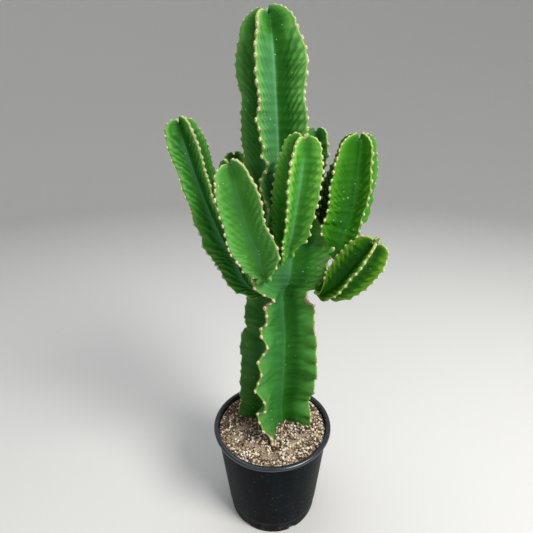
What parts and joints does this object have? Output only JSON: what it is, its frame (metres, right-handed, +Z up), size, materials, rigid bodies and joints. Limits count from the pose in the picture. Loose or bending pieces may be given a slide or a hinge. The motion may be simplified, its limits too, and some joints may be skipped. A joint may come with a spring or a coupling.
{
  "type": "potted euphorbia",
  "caption": "Upright branched candelabra euphorbia with winged, toothed four-ribbed stems, growing in a round black nursery pot filled with gritty mix.",
  "frame": {"origin": "centre of the pot's flat underside", "axes": "+Z up along the pot's axis and the central stem; -Y towards the viewer, so +X is the viewer's right"},
  "size_m": [0.3702, 0.254, 0.9927],
  "materials": {
    "central_stem": "waxy satin green skin",
    "arm_left": "waxy satin green skin",
    "arm_front_left": "waxy satin green skin",
    "arm_front_centre": "waxy satin green skin",
    "arm_right": "waxy satin green skin",
    "arm_lower_right": "waxy satin green skin",
    "arm_back_right": "waxy satin green skin",
    "arm_back_right_low": "waxy satin green skin",
    "arm_back_left": "waxy satin green skin",
    "potting_mix": "loose matt pumice and bark grains",
    "nursery_pot": "satin black moulded plastic"
  },
  "bodies": {
    "root": {"central_stem": "central_stem", "arm_left": "arm_left", "arm_front_left": "arm_front_left", "arm_front_centre": "arm_front_centre", "arm_right": "arm_right", "arm_lower_right": "arm_lower_right", "arm_back_right": "arm_back_right", "arm_back_right_low": "arm_back_right_low", "arm_back_left": "arm_back_left", "potting_mix": "potting_mix", "nursery_pot": "nursery_pot"}
  },
  "joints": []
}
